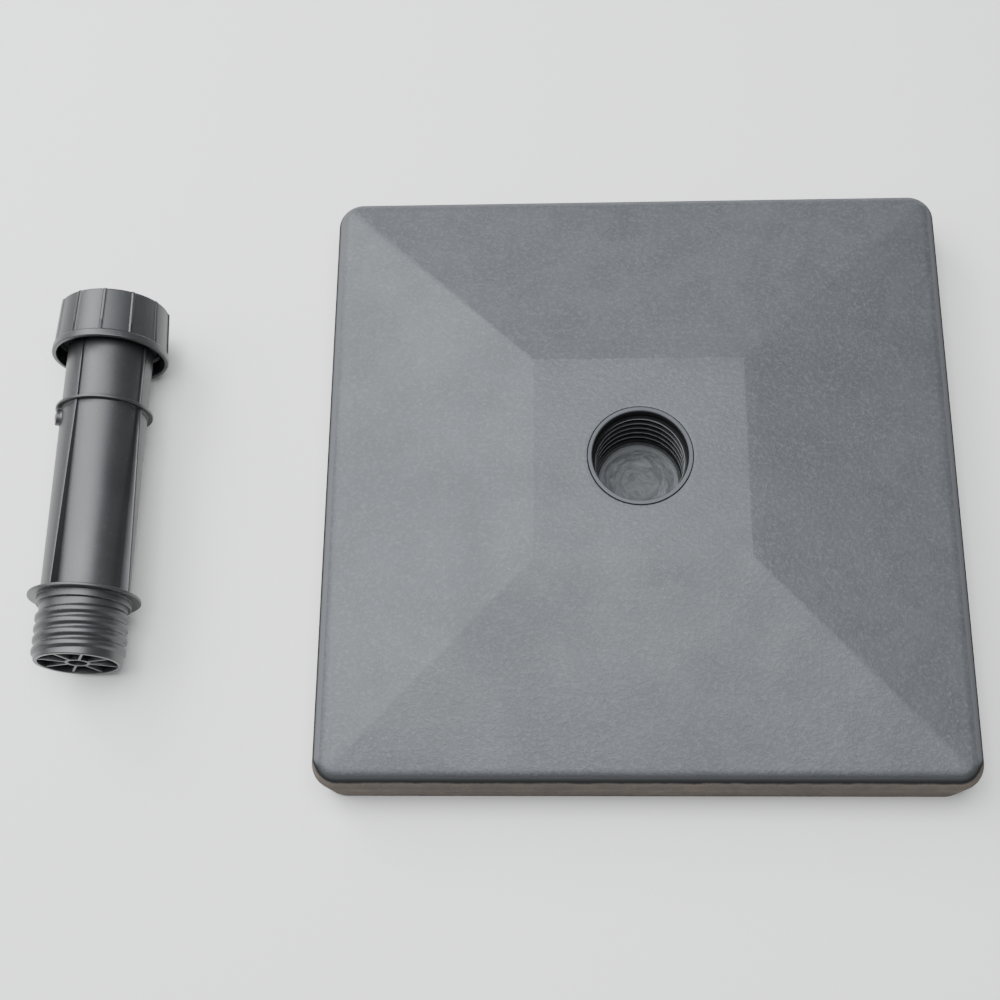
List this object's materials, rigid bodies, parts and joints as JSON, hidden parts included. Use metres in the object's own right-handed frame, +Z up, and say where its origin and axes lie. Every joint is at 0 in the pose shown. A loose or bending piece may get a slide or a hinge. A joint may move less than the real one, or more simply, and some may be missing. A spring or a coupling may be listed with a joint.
{
  "type": "parasol base",
  "caption": "Square weighted garden parasol base with a sloped top and threaded socket, and a loose screw-in pole tube with a clamping cap nut.",
  "frame": {"origin": "on the ground under the axis of the socket, in the middle of the square base", "axes": "+X along the base's edge, away from the loose tube; +Y along the other edge, the way the tube's clamping cap points; +Z up, out of the socket"},
  "size_m": [0.6564, 0.4488, 0.085],
  "materials": {
    "shell_plastic": "fine grained, matte, mid grey",
    "insert_plastic": "smooth, satin, mid grey",
    "concrete": "rough cast concrete",
    "seal_rubber": "matte",
    "pad_rubber": "matte",
    "screw_steel": "zinc plated",
    "tube_plastic": "smooth, satin, charcoal",
    "collet_plastic": "smooth, satin",
    "screw_dark": "blackened steel"
  },
  "bodies": {
    "base": {"top_shell": "shell_plastic", "bottom_tray": "shell_plastic", "socket_insert": "insert_plastic", "concrete_core": "concrete", "fill_plug": "insert_plastic", "fill_plug_seal": "seal_rubber", "foot_pad_front_left": "pad_rubber", "foot_pad_front_right": "pad_rubber", "foot_pad_back_left": "pad_rubber", "foot_pad_back_right": "pad_rubber", "tray_screws": "screw_steel"},
    "tube": {"stand_tube": "tube_plastic", "guide_sleeve": "collet_plastic", "guide_screw": "screw_dark"},
    "collet": {"clamp_collet": "collet_plastic"},
    "cap": {"cap_nut": "tube_plastic"}
  },
  "joints": [
    {"name": "tube_stand_up", "type": "hinge", "parent": "base", "child": "tube", "pos_m": [-0.39138, -0.13756, 0], "axis": [1, -0.008, 0], "range_deg": [0, 89.07]},
    {"name": "collet_slide", "type": "slide", "parent": "tube", "child": "collet", "axis": [0.008, 0.9998, 0.0163], "range_m": [0, 0.01]},
    {"name": "cap_turn", "type": "hinge", "parent": "collet", "child": "cap", "pos_m": [-0.38936, 0.11377, 0.04282], "axis": [0.008, 0.9998, 0.0163], "range_deg": [0, 900]}
  ],
  "couplings": [
    {"joint": "collet_slide", "follows": "cap_turn", "m_per_rad": 0.00063662}
  ]
}
